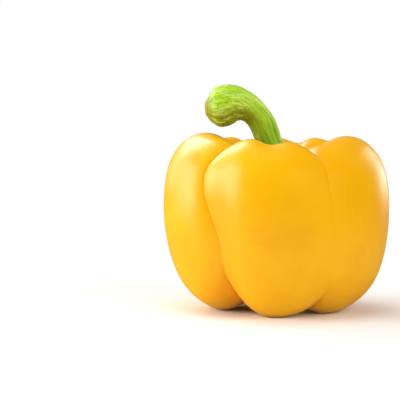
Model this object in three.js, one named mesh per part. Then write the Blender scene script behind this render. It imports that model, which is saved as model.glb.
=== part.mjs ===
// A ripe yellow bell pepper with its calyx and cut stem, standing on its lobes.
// Units are millimetres, with +Z up. A bearing is in degrees round the upright axis:
// 0 is towards -Y, the front, and 90 is towards +X, the right.

import * as THREE from 'three';

// Overall proportions of the pod
const POD_HEIGHT = 69;
const POD_RADIUS = 45.3;

// Section of the pod on a mean bearing, from the floor of the stem cavity over the shoulder and
// down to the blossom scar: control points of a smooth curve, as [radius, height]
const SECTION = [
  [0, 56],
  [7, 56],
  [13, 59.5],
  [22, 69.5],
  [34, 69.8],
  [43.7, 60],
  [46, 44],
  [44.4, 27],
  [38.6, 11],
  [29.5, 1.4],
  [19.5, -2.2],
  [10, 3.6],
  [0, 10.5],
];
const SECTION_CREST = 68.6;

// Ring in the middle of the flesh that every section swells away from
const CORE_RADIUS = 21;
const CORE_HEIGHT = 36;

// How far down the section the crown, shoulder, waist and foot lie, as shares of its length
const STATIONS = [0.27, 0.42, 0.6, 0.8];

// Main grooves between the lobes: bearing and depth at the crown, shoulder, waist and foot
const GROOVES = [
  { bearing: [-38, -44, -32, -35], depth: [8.1, 5.1, 4.3, 9.9] },
  { bearing: [24.5, 27.5, 31, 35], depth: [7, 2.4, 0.2, 5.1] },
  { bearing: [129, 127, 116, 104], depth: [5.7, 2.9, 2.4, 9.8] },
  { bearing: [246, 243, 228, 216], depth: [6.4, 3.4, 2.4, 9.9] },
];

// Shape of a lobe between its grooves at the same four stations: a crisp lobe swells out fast
// beside the groove and leaves it narrow, and a soft one is an even swell
const LOBE_SWELL = [0.4, 0.53, 0.68, 0.61];
const LOBE_CRISPNESS = [1, 0.5, 0.15, 0.9];
const SOFT_LOBE_WAVE = 0.35;

// Radii between which the grooves rise out of the stem cavity's floor and out of the blossom
// scar, and between which the lobes begin to differ in height and reach
const CAVITY_FADE = [9, 23];
const SCAR_FADE = [0.5, 10];
const AXIS_FADE = [3, 20];

// Near the axis a groove draws the skin in by less than its depth
const AXIS_PULL = 0.4;
const AXIS_PULL_FADE = [10, 24];

// Shallow dents in one lobe: two furrows at the crown and a flatter flank on the front lobe.
// Bearing and half width in degrees; station and spread as shares of the way down the section
const FURROWS = [
  { bearing: -4.8, depth: 3.4, halfWidth: 10.9, station: 0.25, spread: 0.12 },
  { bearing: 161, depth: 3.4, halfWidth: 10.7, station: 0.25, spread: 0.12 },
  { bearing: -28, depth: 1.9, halfWidth: 11, station: 0.47, spread: 0.11 },
];

// What sets the lobes apart: [bearing, value] pairs, blended round the pod
const CREST_HEIGHTS = [
  [-60, 69.3],
  [-21, 69.8],
  [14, 68.8],
  [45, 67.8],
  [80, 69.1],
  [115, 69],
  [143, 69.2],
  [176, 67.8],
  [208, 66.4],
  [226, 69.1],
  [262, 70.7],
];
const LOBE_REACHES = [
  [-4, 46],
  [80, 45.1],
  [180, 43.6],
  [276, 45],
];
const FOOT_LIFTS = [
  [-4, 0.3],
  [80, 0.05],
  [180, 0.4],
  [276, 0.4],
];
const HIP_FULLNESSES = [
  [-4, -0.5],
  [80, 1.9],
  [180, 0.6],
  [276, 0.6],
];
const HIP_STATION = 0.68;
const HIP_SPREAD = 0.1;

// Gap that keeps the calyx off the pod, and the stem off the calyx
const GAP = 0.3;

// Calyx: bearing and radius of each pointed tooth, how far the edge falls back between two
// teeth, and the level boss that the stem stands on
const TEETH = [
  [-62, 15.8],
  [-5, 14.6],
  [52, 15.9],
  [112, 14.8],
  [172, 15.8],
  [238, 15],
];
const EDGE_FALLBACK = 2.8;
const CALYX_THICKNESS = 2.2;
const BOSS_TOP = 59;
const BOSS_RADIUS = 9.2;
const SKIRT_START = 12;
const THINNING = 0.3;
const ROUNDED_RIM = 0.15;
const RIM_THICKNESS = 0.3;
const EDGE_CURL = 0.5;
const CURL_START = 0.7;
const ROW_CROWDING = 0.8;

// Relief of the calyx: crinkles that wander as they go round and out, and a rib on each tooth
const CRINKLE_HEIGHT = 0.45;
const CRINKLES_ROUND = 17;
const CRINKLES_OUT = 15;
const CRINKLE_WANDER = { round: 2.3, perOut: 7, out: 1.7, perTurn: 5 };
const TOOTH_RIB_HEIGHT = 0.7;
const TOOTH_RIB_HALF_WIDTH = 9;

// Stem: points of its centre line with its radius there, from the calyx to the cut end
const STEM = [
  [0, 0, BOSS_TOP + GAP, 9],
  [0, 0, 60.6, 7.1],
  [-0.7, 0, 62.6, 5.8],
  [-2.2, 0, 65.5, 4.9],
  [-3.8, -0.1, 70, 5.1],
  [-5.6, -0.3, 74.5, 5.1],
  [-8.5, -0.6, 78.5, 5.1],
  [-11.1, -0.9, 80.7, 5.6],
  [-13.6, -1.2, 81.8, 6.2],
  [-16.3, -1.5, 82.3, 7.3],
  [-19.4, -1.8, 82.1, 7.9],
  [-23.1, -2.1, 81.1, 7.9],
  [-25.8, -2.2, 80.7, 5.9],
  [-27.5, -2.3, 80.6, 3.5],
];
const CUT_BULGE = 0.9;
const STEM_RIBS = 5;
const STEM_RIB_HEIGHT = 0.05;
const STEM_RIB_FADE = 0.5;
const STEM_TWIST = 0.5;

// Fineness of the solids. The pod's columns are counted from each groove to the next, follow the
// grooves down and crowd towards them.
const POD_COLUMNS = [20, 25, 27, 20];
const COLUMN_CROWDING = 0.6;
const POD_DOWN = 44;
const CALYX_ROUND = 84;
const CALYX_OUT = 10;
const STEM_ROUND = 25;
const STEM_ALONG = 30;

const YELLOW_SKIN = new THREE.MeshStandardMaterial({ color: 0xfdb913, roughness: 0.28, metalness: 0 });
const CALYX_GREEN = new THREE.MeshStandardMaterial({ color: 0x5f8f22, roughness: 0.5, metalness: 0 });
const STEM_GREEN = new THREE.MeshStandardMaterial({ color: 0x9ab82e, roughness: 0.45, metalness: 0 });

const { clamp, degToRad, euclideanModulo, lerp, smoothstep } = THREE.MathUtils;

function bell(distance, halfWidth) {
  return Math.exp(-((distance / halfWidth) ** 2));
}

// Smallest turn from one bearing to another, between -180 and 180 degrees
function turn(from, to) {
  return euclideanModulo(to - from + 180, 360) - 180;
}

// Smooth curve near its control points, mirrored at the upright axis so that it meets it level
function onSection(share) {
  const ends = [SECTION[1], SECTION[SECTION.length - 2]].map(([radius, height]) => [-radius, height]);
  const points = [ends[0], ...SECTION, ends[1]];
  const spans = points.length - 3;
  const place = clamp(share, 0, 1) * spans;
  const first = Math.min(Math.floor(place), spans - 1);
  const t = place - first;
  const weights = [
    (1 - t) ** 3 / 6,
    (3 * t ** 3 - 6 * t ** 2 + 4) / 6,
    (-3 * t ** 3 + 3 * t ** 2 + 3 * t + 1) / 6,
    t ** 3 / 6,
  ];
  const sum = (axis) => weights.reduce((total, weight, i) => total + weight * points[first + i][axis], 0);
  return { radius: sum(0), height: sum(1) };
}

// Blend of a groove's four values at a share of the way down the section
function atStation(values, share) {
  let value = values[0];
  for (let i = 1; i < values.length; i += 1) {
    value += (values[i] - values[i - 1]) * smoothstep(share, STATIONS[i - 1], STATIONS[i]);
  }
  return value;
}

// Blend round the pod of [bearing, value] pairs, level at each pair
function roundPod(pairs, bearing) {
  const count = pairs.length;
  const start = pairs[0][0];
  const along = euclideanModulo(bearing - start, 360);
  let i = count - 1;
  while (pairs[i][0] - start > along) {
    i -= 1;
  }
  const here = pairs[i];
  const next = pairs[(i + 1) % count];
  const span = euclideanModulo(next[0] - here[0], 360);
  const share = (along - (here[0] - start)) / span;
  return lerp(here[1], next[1], (1 - Math.cos(Math.PI * share)) / 2);
}

// How far the grooves and furrows press a point of the section in towards the core ring
function dentDepth(bearing, share) {
  let depth = 0;
  GROOVES.forEach((groove, i) => {
    const next = GROOVES[(i + 1) % GROOVES.length];
    const start = atStation(groove.bearing, share);
    const span = euclideanModulo(atStation(next.bearing, share) - start, 360);
    const across = euclideanModulo(bearing - start, 360) / span;
    if (across >= 1) {
      return;
    }
    const round = 4 * across * (1 - across);
    const crisp = round ** atStation(LOBE_SWELL, share);
    const soft = lerp(round, Math.sin(Math.PI * across) ** 2, SOFT_LOBE_WAVE);
    const bulge = lerp(soft, crisp, atStation(LOBE_CRISPNESS, share));
    const ends = [atStation(groove.depth, share), atStation(next.depth, share)];
    depth = lerp(ends[0], ends[1], smoothstep(across, 0, 1)) * (1 - bulge);
  });
  FURROWS.forEach((furrow) => {
    const across = bell(turn(furrow.bearing, bearing), furrow.halfWidth);
    depth += furrow.depth * across * bell(share - furrow.station, furrow.spread);
  });
  return depth;
}

// Radius and height of the pod's skin
function podSkin(bearing, share) {
  let { radius, height } = onSection(share);
  const away = smoothstep(radius, ...AXIS_FADE);
  const upper = smoothstep(height, CORE_HEIGHT, POD_HEIGHT);
  const lower = 1 - smoothstep(height, 0, CORE_HEIGHT);
  height += upper * away * (roundPod(CREST_HEIGHTS, bearing) - SECTION_CREST);
  radius *= 1 + (roundPod(LOBE_REACHES, bearing) / POD_RADIUS - 1) * away;
  height += lower * away * roundPod(FOOT_LIFTS, bearing);
  radius += roundPod(HIP_FULLNESSES, bearing) * bell(share - HIP_STATION, HIP_SPREAD);
  const fade = smoothstep(radius, ...(share < 0.5 ? CAVITY_FADE : SCAR_FADE));
  const depth = dentDepth(bearing, share) * fade;
  const fromCore = { radius: radius - CORE_RADIUS, height: height - CORE_HEIGHT };
  const length = Math.hypot(fromCore.radius, fromCore.height);
  const pull = lerp(AXIS_PULL, 1, smoothstep(radius, ...AXIS_PULL_FADE));
  radius -= (depth * fromCore.radius * pull) / length;
  height -= (depth * fromCore.height) / length;
  return { radius, height: Math.max(height, 0) };
}

function atBearing(bearing, radius, height) {
  const angle = degToRad(bearing);
  return new THREE.Vector3(radius * Math.sin(angle), -radius * Math.cos(angle), height);
}

// Closed body from a top point, rows of points down to a bottom point, and the bottom point;
// each row runs round by rising bearing, so that every face looks outwards
function closedBody(top, rows, bottom) {
  const count = rows[0].length;
  const positions = [top, ...rows.flat(), bottom].flatMap((point) => point.toArray());
  const last = 1 + rows.length * count;
  const at = (row, i) => 1 + row * count + (i % count);
  const index = [];
  for (let i = 0; i < count; i += 1) {
    index.push(0, at(0, i), at(0, i + 1));
    for (let row = 0; row < rows.length - 1; row += 1) {
      index.push(at(row, i), at(row + 1, i), at(row + 1, i + 1));
      index.push(at(row, i), at(row + 1, i + 1), at(row, i + 1));
    }
    index.push(at(rows.length - 1, i), last, at(rows.length - 1, i + 1));
  }
  const geometry = new THREE.BufferGeometry();
  geometry.setAttribute('position', new THREE.Float32BufferAttribute(positions, 3));
  geometry.setIndex(index);
  geometry.computeVertexNormals();
  return geometry;
}

function bearings(count) {
  return Array.from({ length: count }, (_, i) => (i * 360) / count);
}

// Bearings of the pod's columns on one row, from a groove on: one runs down every groove
function podBearings(share) {
  const starts = GROOVES.map((groove) => atStation(groove.bearing, share));
  return POD_COLUMNS.flatMap((count, i) => {
    const span = euclideanModulo(starts[(i + 1) % starts.length] - starts[i], 360);
    return Array.from({ length: count }, (_, column) => {
      const even = column / count;
      const crowded = (1 - Math.cos(Math.PI * even)) / 2;
      return starts[i] + span * lerp(even, crowded, COLUMN_CROWDING);
    });
  });
}

function podGeometry() {
  const pole = (share) => new THREE.Vector3(0, 0, podSkin(0, share).height);
  const rows = [];
  for (let i = 1; i < POD_DOWN; i += 1) {
    rows.push(
      podBearings(i / POD_DOWN).map((bearing) => {
        const { radius, height } = podSkin(bearing, i / POD_DOWN);
        return atBearing(bearing, radius, height);
      }),
    );
  }
  return closedBody(pole(0), rows, pole(1));
}

// Height of the stem cavity's floor and walls at a radius, found by halving
function cavityHeight(bearing, radius) {
  let near = 0;
  let far = STATIONS[0];
  for (let i = 0; i < 30; i += 1) {
    const middle = (near + far) / 2;
    if (podSkin(bearing, middle).radius > radius) {
      far = middle;
    } else {
      near = middle;
    }
  }
  return podSkin(bearing, near).height;
}

// Radius of the calyx: pointed teeth with hollow edges between them
function calyxReach(bearing) {
  const start = TEETH[0][0];
  const along = euclideanModulo(bearing - start, 360);
  let i = TEETH.length - 1;
  while (TEETH[i][0] - start > along) {
    i -= 1;
  }
  const here = TEETH[i];
  const next = TEETH[(i + 1) % TEETH.length];
  const across = (along - (here[0] - start)) / euclideanModulo(next[0] - here[0], 360);
  const hollow = EDGE_FALLBACK * (4 * across * (1 - across)) ** 0.8;
  return lerp(here[1], next[1], across) - hollow;
}

// Crinkles over the calyx, with a raised rib down each tooth
function calyxRelief(bearing, out) {
  const angle = degToRad(bearing);
  const wander = CRINKLE_WANDER;
  const round = Math.sin(CRINKLES_ROUND * angle + wander.round * Math.sin(wander.perOut * out));
  const radial = Math.sin(CRINKLES_OUT * out + wander.out * Math.sin(wander.perTurn * angle));
  const rib = TEETH.reduce((most, [tooth]) => {
    return Math.max(most, bell(turn(tooth, bearing), TOOTH_RIB_HALF_WIDTH));
  }, 0);
  return CRINKLE_HEIGHT * round * radial + TOOTH_RIB_HEIGHT * rib;
}

function calyxRow(out, side) {
  return bearings(CALYX_ROUND).map((bearing) => {
    const radius = calyxReach(bearing) * out;
    const clear = cavityHeight(bearing, radius) + GAP * (1 + out / 2);
    const skirt = smoothstep(radius, BOSS_RADIUS, SKIRT_START);
    const curl = EDGE_CURL * smoothstep(out, CURL_START, 1);
    if (side === 'under') {
      return atBearing(bearing, radius, clear + curl / 2);
    }
    const pastRim = clamp((out - 1 + ROUNDED_RIM) / ROUNDED_RIM, 0, 1);
    const rim = lerp(RIM_THICKNESS, 1, Math.sqrt(1 - pastRim ** 2));
    const body = CALYX_THICKNESS + calyxRelief(bearing, out);
    const thickness = body * (1 - THINNING * out) * rim;
    return atBearing(bearing, radius, lerp(BOSS_TOP, clear + thickness + curl, skirt));
  });
}

function calyxGeometry() {
  const outs = Array.from({ length: CALYX_OUT }, (_, i) => ((i + 1) / CALYX_OUT) ** ROW_CROWDING);
  const upper = outs.map((out) => calyxRow(out, 'upper'));
  const under = outs.map((out) => calyxRow(out, 'under')).reverse();
  const top = new THREE.Vector3(0, 0, BOSS_TOP);
  const bottom = new THREE.Vector3(0, 0, podSkin(0, 0).height + GAP);
  return closedBody(top, [...upper, ...under], bottom);
}

// Point, direction and radius of the stem at a share of the way along it
function onStem(share) {
  const spans = STEM.length - 1;
  const place = clamp(share, 0, 1) * spans;
  const i = Math.min(Math.floor(place), spans - 1);
  const t = place - i;
  const points = [STEM[Math.max(i - 1, 0)], STEM[i], STEM[i + 1], STEM[Math.min(i + 2, spans)]];
  const through = [0, 1, 2, 3].map((axis) => {
    const [a, b, c, d] = points.map((point) => point[axis]);
    const bend = 2 * a - 5 * b + 4 * c - d;
    const twist = 3 * b - a - 3 * c + d;
    const value = (2 * b + (c - a) * t + bend * t ** 2 + twist * t ** 3) / 2;
    const slope = (c - a + 2 * bend * t + 3 * twist * t ** 2) / 2;
    return { value, slope };
  });
  const [x, y, z, radius] = through;
  return {
    centre: new THREE.Vector3(x.value, y.value, z.value),
    ahead: new THREE.Vector3(x.slope, y.slope, z.slope).normalize(),
    radius: radius.value,
  };
}

function stemRow(share) {
  const { centre, ahead, radius } = onStem(share);
  const side = new THREE.Vector3(0, 1, 0).cross(ahead).normalize();
  const front = ahead.clone().cross(side);
  return bearings(STEM_ROUND).map((bearing) => {
    const angle = degToRad(bearing);
    const rib = Math.cos(STEM_RIBS * (angle + STEM_TWIST * share)) * (1 - STEM_RIB_FADE * share);
    const reach = radius * (1 + STEM_RIB_HEIGHT * rib);
    return centre
      .clone()
      .addScaledVector(side, reach * Math.cos(angle))
      .addScaledVector(front, reach * Math.sin(angle));
  });
}

function stemGeometry() {
  const shares = Array.from({ length: STEM_ALONG + 1 }, (_, i) => 1 - i / STEM_ALONG);
  const { centre, ahead } = onStem(1);
  const cut = centre.clone().addScaledVector(ahead, CUT_BULGE);
  return closedBody(cut, shares.map(stemRow), onStem(0).centre);
}

function namedMesh(name, geometry, material) {
  const mesh = new THREE.Mesh(geometry, material);
  mesh.name = name;
  return mesh;
}

const pepper = new THREE.Group();
pepper.add(namedMesh('pod', podGeometry(), YELLOW_SKIN));
pepper.add(namedMesh('calyx', calyxGeometry(), CALYX_GREEN));
pepper.add(namedMesh('stem', stemGeometry(), STEM_GREEN));

// The origin is under the middle of the pepper's box, on the surface that it stands on
const box = new THREE.Box3().setFromObject(pepper);
const middle = box.getCenter(new THREE.Vector3());
pepper.position.set(-middle.x, -middle.y, -box.min.z);

export default pepper;
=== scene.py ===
"""Looks of a ripe yellow bell pepper that stands on its lobes: skin, calyx, stem, light and camera.

Forms are worked out in millimetres and become metres as their meshes are made. A bearing is in
degrees round the upright axis: 0 is towards -Y, the front, and 90 is towards +X, the right.
A share runs from 0 to 1 along a line, such as the way down the pod or along the stem.
"""

import logging
import math
from collections.abc import Sequence
from dataclasses import dataclass
from enum import Enum
from functools import reduce
from typing import Any

import bpy
import numpy as np
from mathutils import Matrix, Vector


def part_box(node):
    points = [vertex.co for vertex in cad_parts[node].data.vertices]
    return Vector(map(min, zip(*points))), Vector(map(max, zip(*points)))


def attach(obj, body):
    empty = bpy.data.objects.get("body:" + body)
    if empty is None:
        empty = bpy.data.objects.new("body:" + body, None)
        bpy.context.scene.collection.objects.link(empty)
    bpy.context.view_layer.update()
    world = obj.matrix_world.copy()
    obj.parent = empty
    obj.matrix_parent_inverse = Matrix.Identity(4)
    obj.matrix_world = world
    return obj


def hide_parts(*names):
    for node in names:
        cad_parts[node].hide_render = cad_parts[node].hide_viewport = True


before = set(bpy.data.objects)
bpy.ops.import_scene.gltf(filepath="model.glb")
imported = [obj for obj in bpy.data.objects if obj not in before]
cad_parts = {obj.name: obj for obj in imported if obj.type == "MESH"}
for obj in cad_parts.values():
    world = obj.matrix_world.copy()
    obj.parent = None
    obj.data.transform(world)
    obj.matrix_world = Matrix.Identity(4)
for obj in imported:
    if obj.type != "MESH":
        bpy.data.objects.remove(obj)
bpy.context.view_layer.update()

LOG = logging.getLogger("pepper")
MM = 0.001
BODY = "root"
NOISE_MEAN = 0.5
Array = np.ndarray
Pairs = tuple[tuple[float, float], ...]
Colour = tuple[float, float, float, float]
Range = tuple[float, ...]
Blotches = tuple[float, float, float]
Socket = bpy.types.NodeSocket
FLOAT = "NodeSocketFloat"
VECTOR = "NodeSocketVector"
GEOMETRY = "NodeSocketGeometry"
NUMBER_SOCKETS = {float: FLOAT, int: "NodeSocketInt"}


class Node(Enum):
    """Names of the solids that the pieces stand for."""

    POD = "pod"
    CALYX = "calyx"
    STEM = "stem"


class Slot(Enum):
    """Names of the record's finishes."""

    POD = "pod_skin"
    CALYX = "calyx_green"
    STEM = "stem_green"


def colour(red: int, green: int, blue: int) -> Colour:
    """Turns a screen colour into scene-linear light.

    Args:
        red: Red, from 0 to 255.
        green: Green, from 0 to 255.
        blue: Blue, from 0 to 255.

    Returns:
        The linear colour with full alpha.
    """
    shares = [value / 255 for value in (red, green, blue)]
    linear = [((share + 0.055) / 1.055) ** 2.4 if share > 0.04 else share / 12.92 for share in shares]
    return (*linear, 1.0)


def smoothstep(value: Array, low: float, high: float) -> Array:
    """Rises smoothly from 0 at low to 1 at high."""
    share = np.clip((value - low) / (high - low), 0, 1)
    return share * share * (3 - 2 * share)


def bell(distance: Array, half_width: float) -> Array:
    """Falls off smoothly on both sides of 0, where it is 1."""
    return np.exp(-((distance / half_width) ** 2))


def turn(start: float, bearing: Array) -> Array:
    """Gives the smallest turn from one bearing to another, between -180 and 180 degrees."""
    return (bearing - start + 180) % 360 - 180


def lerp(first: Any, second: Any, share: Any) -> Any:
    """Blends two values."""
    return first + (second - first) * share


def unit(vectors: Array) -> Array:
    """Gives vectors the length 1."""
    return vectors / np.linalg.norm(vectors, axis=-1, keepdims=True)


def between(pairs: Pairs, bearing: Array) -> tuple[Array, Array, Array]:
    """Finds the pairs on both sides of each bearing.

    Args:
        pairs: Bearings with their values, in rising order round the circle.
        bearing: Bearings in degrees.

    Returns:
        The value before, the value after, and how far it is from the one to the other.
    """
    start = pairs[0][0]
    places = np.array([place - start for place, _ in pairs] + [360.0])
    values = np.array([value for _, value in (*pairs, pairs[0])], float)
    along = (bearing - start) % 360
    i = np.clip(np.searchsorted(places, along, side="right") - 1, 0, len(pairs) - 1)
    return values[i], values[i + 1], (along - places[i]) / (places[i + 1] - places[i])


def eased_round(pairs: Pairs, bearing: Array) -> Array:
    """Blends values round the circle, level at each given bearing."""
    before, after, share = between(pairs, bearing)
    return lerp(before, after, (1 - np.cos(np.pi * share)) / 2)


def at_bearing(bearing: Array, radius: Array, height: Array) -> Array:
    """Places points by bearing, distance from the upright axis and height above the ground."""
    angle = np.radians(bearing)
    return np.stack([radius * np.sin(angle), -radius * np.cos(angle), height], axis=-1)


@dataclass(frozen=True)
class Groove:
    """A main groove: its bearing and depth at the crown, shoulder, waist and foot."""

    bearing: tuple[float, ...]
    depth: tuple[float, ...]


@dataclass(frozen=True)
class Furrow:
    """A shallow dent in one lobe: where it is round the pod and down it, how deep and how wide."""

    bearing: float
    depth: float
    half_width: float
    station: float = 0.25
    spread: float = 0.12


@dataclass(frozen=True)
class PodForm:
    """Rule for the skin of the pod, in millimetres, as the pod's solid follows it."""

    height: float = 69.0
    radius: float = 45.3
    section: Pairs = (
        (0, 56), (7, 56), (13, 59.5), (22, 69.5), (34, 69.8), (43.7, 60), (46, 44),
        (44.4, 27), (38.6, 11), (29.5, 1.4), (19.5, -2.2), (10, 3.6), (0, 10.5),
    )
    section_crest: float = 68.6
    core_radius: float = 21.0
    core_height: float = 36.0
    stations: tuple[float, ...] = (0.27, 0.42, 0.6, 0.8)
    grooves: tuple[Groove, ...] = (
        Groove((-38, -44, -32, -35), (8.1, 5.1, 4.3, 9.9)),
        Groove((24.5, 27.5, 31, 35), (7, 2.4, 0.2, 5.1)),
        Groove((129, 127, 116, 104), (5.7, 2.9, 2.4, 9.8)),
        Groove((246, 243, 228, 216), (6.4, 3.4, 2.4, 9.9)),
    )
    lobe_swell: tuple[float, ...] = (0.4, 0.53, 0.68, 0.61)
    lobe_crispness: tuple[float, ...] = (1, 0.5, 0.15, 0.9)
    soft_lobe_wave: float = 0.35
    cavity_fade: tuple[float, float] = (9, 23)
    scar_fade: tuple[float, float] = (0.5, 10)
    axis_fade: tuple[float, float] = (3, 20)
    axis_pull: float = 0.4
    axis_pull_fade: tuple[float, float] = (10, 24)
    furrows: tuple[Furrow, ...] = (
        Furrow(-4.8, 3.4, 10.9), Furrow(161, 3.4, 10.7), Furrow(-28, 1.9, 11, 0.47, 0.11),
    )
    crest_heights: Pairs = (
        (-60, 69.3), (-21, 69.8), (14, 68.8), (45, 67.8), (80, 69.1), (115, 69),
        (143, 69.2), (176, 67.8), (208, 66.4), (226, 69.1), (262, 70.7),
    )
    lobe_reaches: Pairs = ((-4, 46), (80, 45.1), (180, 43.6), (276, 45))
    foot_lifts: Pairs = ((-4, 0.3), (80, 0.05), (180, 0.4), (276, 0.4))
    hip_fullnesses: Pairs = ((-4, -0.5), (80, 1.9), (180, 0.6), (276, 0.6))
    hip_station: float = 0.68
    hip_spread: float = 0.1
    crowding: float = 0.6

    def on_section(self, share: Array) -> tuple[Array, Array]:
        """Follows the section, a smooth curve that meets the axis level at both ends.

        Args:
            share: How far down the section, from 0 to 1.

        Returns:
            Radius and height.
        """
        points = np.asarray(self.section, float)
        mirror = np.array([-1, 1])
        points = np.vstack([points[1] * mirror, points, points[-2] * mirror])
        spans = len(points) - 3
        place = np.clip(share, 0, 1) * spans
        first = np.minimum(place.astype(int), spans - 1)
        t = (place - first)[..., None]
        weights = ((1 - t) ** 3, 3 * t**3 - 6 * t**2 + 4, -3 * t**3 + 3 * t**2 + 3 * t + 1, t**3)
        sums = sum(weight * points[first + i] for i, weight in enumerate(weights)) / 6
        return sums[..., 0], sums[..., 1]

    def at_station(self, values: Sequence[float], share: Array) -> Array:
        """Blends the four values given for the crown, shoulder, waist and foot.

        Args:
            values: The four values.
            share: How far down the section, from 0 to 1.

        Returns:
            The blended values.
        """
        total = np.full_like(share, values[0])
        for i in range(1, len(values)):
            total += (values[i] - values[i - 1]) * smoothstep(share, self.stations[i - 1], self.stations[i])
        return total

    def dent_depth(self, bearing: Array, share: Array) -> Array:
        """Says how far grooves and furrows press the section in towards the core ring.

        Args:
            bearing: Bearings in degrees.
            share: How far down the section, from 0 to 1.

        Returns:
            Depths in millimetres.
        """
        starts = [self.at_station(groove.bearing, share) for groove in self.grooves]
        depths = [self.at_station(groove.depth, share) for groove in self.grooves]
        swell = self.at_station(self.lobe_swell, share)
        crispness = self.at_station(self.lobe_crispness, share)
        total = np.zeros_like(bearing)
        for i in range(len(self.grooves)):
            j = (i + 1) % len(self.grooves)
            across = ((bearing - starts[i]) % 360) / ((starts[j] - starts[i]) % 360)
            inside = np.clip(across, 0, 1)
            hump = 4 * inside * (1 - inside)
            soft = lerp(hump, np.sin(np.pi * inside) ** 2, self.soft_lobe_wave)
            bulge = lerp(soft, hump**swell, crispness)
            depth = lerp(depths[i], depths[j], smoothstep(inside, 0, 1)) * (1 - bulge)
            total = np.where(across < 1, depth, total)
        for furrow in self.furrows:
            width = bell(turn(furrow.bearing, bearing), furrow.half_width)
            total += furrow.depth * width * bell(share - furrow.station, furrow.spread)
        return total

    def skin(self, bearing: Array, share: Array) -> tuple[Array, Array, Array]:
        """Works out the skin.

        Args:
            bearing: Bearings in degrees.
            share: How far down the section, from 0 to 1.

        Returns:
            Radius, height, and the depth of the grooves there.
        """
        radius, height = self.on_section(share)
        away = smoothstep(radius, *self.axis_fade)
        upper = smoothstep(height, self.core_height, self.height)
        lower = 1 - smoothstep(height, 0, self.core_height)
        crest = eased_round(self.crest_heights, bearing) - self.section_crest
        height = height + upper * away * crest
        radius = radius * (1 + (eased_round(self.lobe_reaches, bearing) / self.radius - 1) * away)
        height = height + lower * away * eased_round(self.foot_lifts, bearing)
        hips = eased_round(self.hip_fullnesses, bearing)
        radius = radius + hips * bell(share - self.hip_station, self.hip_spread)
        cavity = smoothstep(radius, *self.cavity_fade)
        scar = smoothstep(radius, *self.scar_fade)
        depth = self.dent_depth(bearing, share) * np.where(share < 0.5, cavity, scar)
        out, up = radius - self.core_radius, height - self.core_height
        length = np.hypot(out, up)
        pull = lerp(self.axis_pull, 1, smoothstep(radius, *self.axis_pull_fade))
        radius = radius - depth * out * pull / length
        height = height - depth * up / length
        return radius, np.maximum(height, 0), depth

    def columns(self, share: Array, counts: Sequence[int]) -> Array:
        """Lays bearings round the pod so that a column runs down the bottom of every groove.

        Args:
            share: How far down the section each row is.
            counts: Columns from each groove to the next; they crowd towards the grooves.

        Returns:
            Bearings, a row for each share.
        """
        starts = [self.at_station(groove.bearing, share) for groove in self.grooves]
        parts = []
        for i, count in enumerate(counts):
            span = (starts[(i + 1) % len(starts)] - starts[i]) % 360
            even = np.arange(count) / count
            crowded = lerp(even, (1 - np.cos(np.pi * even)) / 2, self.crowding)
            parts.append(starts[i][:, None] + span[:, None] * crowded)
        return np.concatenate(parts, axis=1)

    def points(self, bearing: Array, share: Array) -> Array:
        """Gives points on the skin, in millimetres."""
        radius, height, _ = self.skin(bearing, share)
        return at_bearing(bearing, radius, height)

    def pole(self, share: float) -> Array:
        """Gives the skin's point on the axis: 0 is in the stem cavity, 1 under the pod."""
        return self.points(np.array(0.0), np.array(share))

    def cavity_height(self, bearing: Array, radius: Array) -> Array:
        """Finds the height of the stem cavity's floor and walls by halving.

        Args:
            bearing: Bearings in degrees.
            radius: Distances from the axis.

        Returns:
            Heights of the skin there.
        """
        near = np.zeros_like(radius)
        far = np.full_like(radius, self.stations[0])
        for _ in range(30):
            middle = (near + far) / 2
            beyond = self.skin(bearing, middle)[0] > radius
            far = np.where(beyond, middle, far)
            near = np.where(beyond, near, middle)
        return self.skin(bearing, near)[1]


def mesh_object(name: str, points: Array, faces: Any = (), edges: Any = ()) -> bpy.types.Object:
    """Makes a smooth-shaded mesh object at the origin.

    Args:
        name: Name of the piece.
        points: Corners in metres.
        faces: Corner numbers of each face.
        edges: Corner numbers of each edge that has no face.

    Returns:
        The new object, linked to the scene.
    """
    mesh = bpy.data.meshes.new(name)
    mesh.from_pydata(points.tolist(), edges, faces)
    mesh.validate()
    mesh.shade_smooth()
    piece = bpy.data.objects.new(name, mesh)
    bpy.context.scene.collection.objects.link(piece)
    return piece


def closed_body(name: str, top: Array, rows: Array, bottom: Array) -> bpy.types.Object:
    """Skins rows of points into one closed body with its faces outwards.

    Args:
        name: Name of the piece.
        top: The single point above the first row, in metres.
        rows: Rows of points, each running round by rising bearing, from the top down.
        bottom: The single point below the last row.

    Returns:
        The new object.
    """
    depth, count = rows.shape[:2]
    points = np.vstack([top[None], rows.reshape(-1, 3), bottom[None]])
    last = 1 + depth * count
    faces: list[tuple[int, ...]] = []
    for i in range(count):
        j = (i + 1) % count
        faces.append((0, 1 + i, 1 + j))
        for row in range(depth - 1):
            upper, lower = 1 + row * count, 1 + (row + 1) * count
            faces.append((upper + i, lower + i, lower + j, upper + j))
        faces.append((last - count + i, last, last - count + j))
    return mesh_object(name, points, faces)


def store(piece: bpy.types.Object, name: str, values: Array) -> None:
    """Keeps one number for each corner of a mesh, for its finish or its node tree.

    Args:
        piece: The mesh object.
        name: Name of the attribute.
        values: A number or a vector for each corner.
    """
    kind, key = ("FLOAT_VECTOR", "vector") if values.ndim > 1 else ("FLOAT", "value")
    attribute = piece.data.attributes.new(name, kind, "POINT")
    attribute.data.foreach_set(key, values.astype(np.float32).ravel())


def store_rows(piece: bpy.types.Object, name: str, values: Array) -> None:
    """Keeps one number for each corner of a closed body's rows, and 0 for its two poles."""
    store(piece, name, np.concatenate([[0.0], values.ravel(), [0.0]]))


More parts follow.
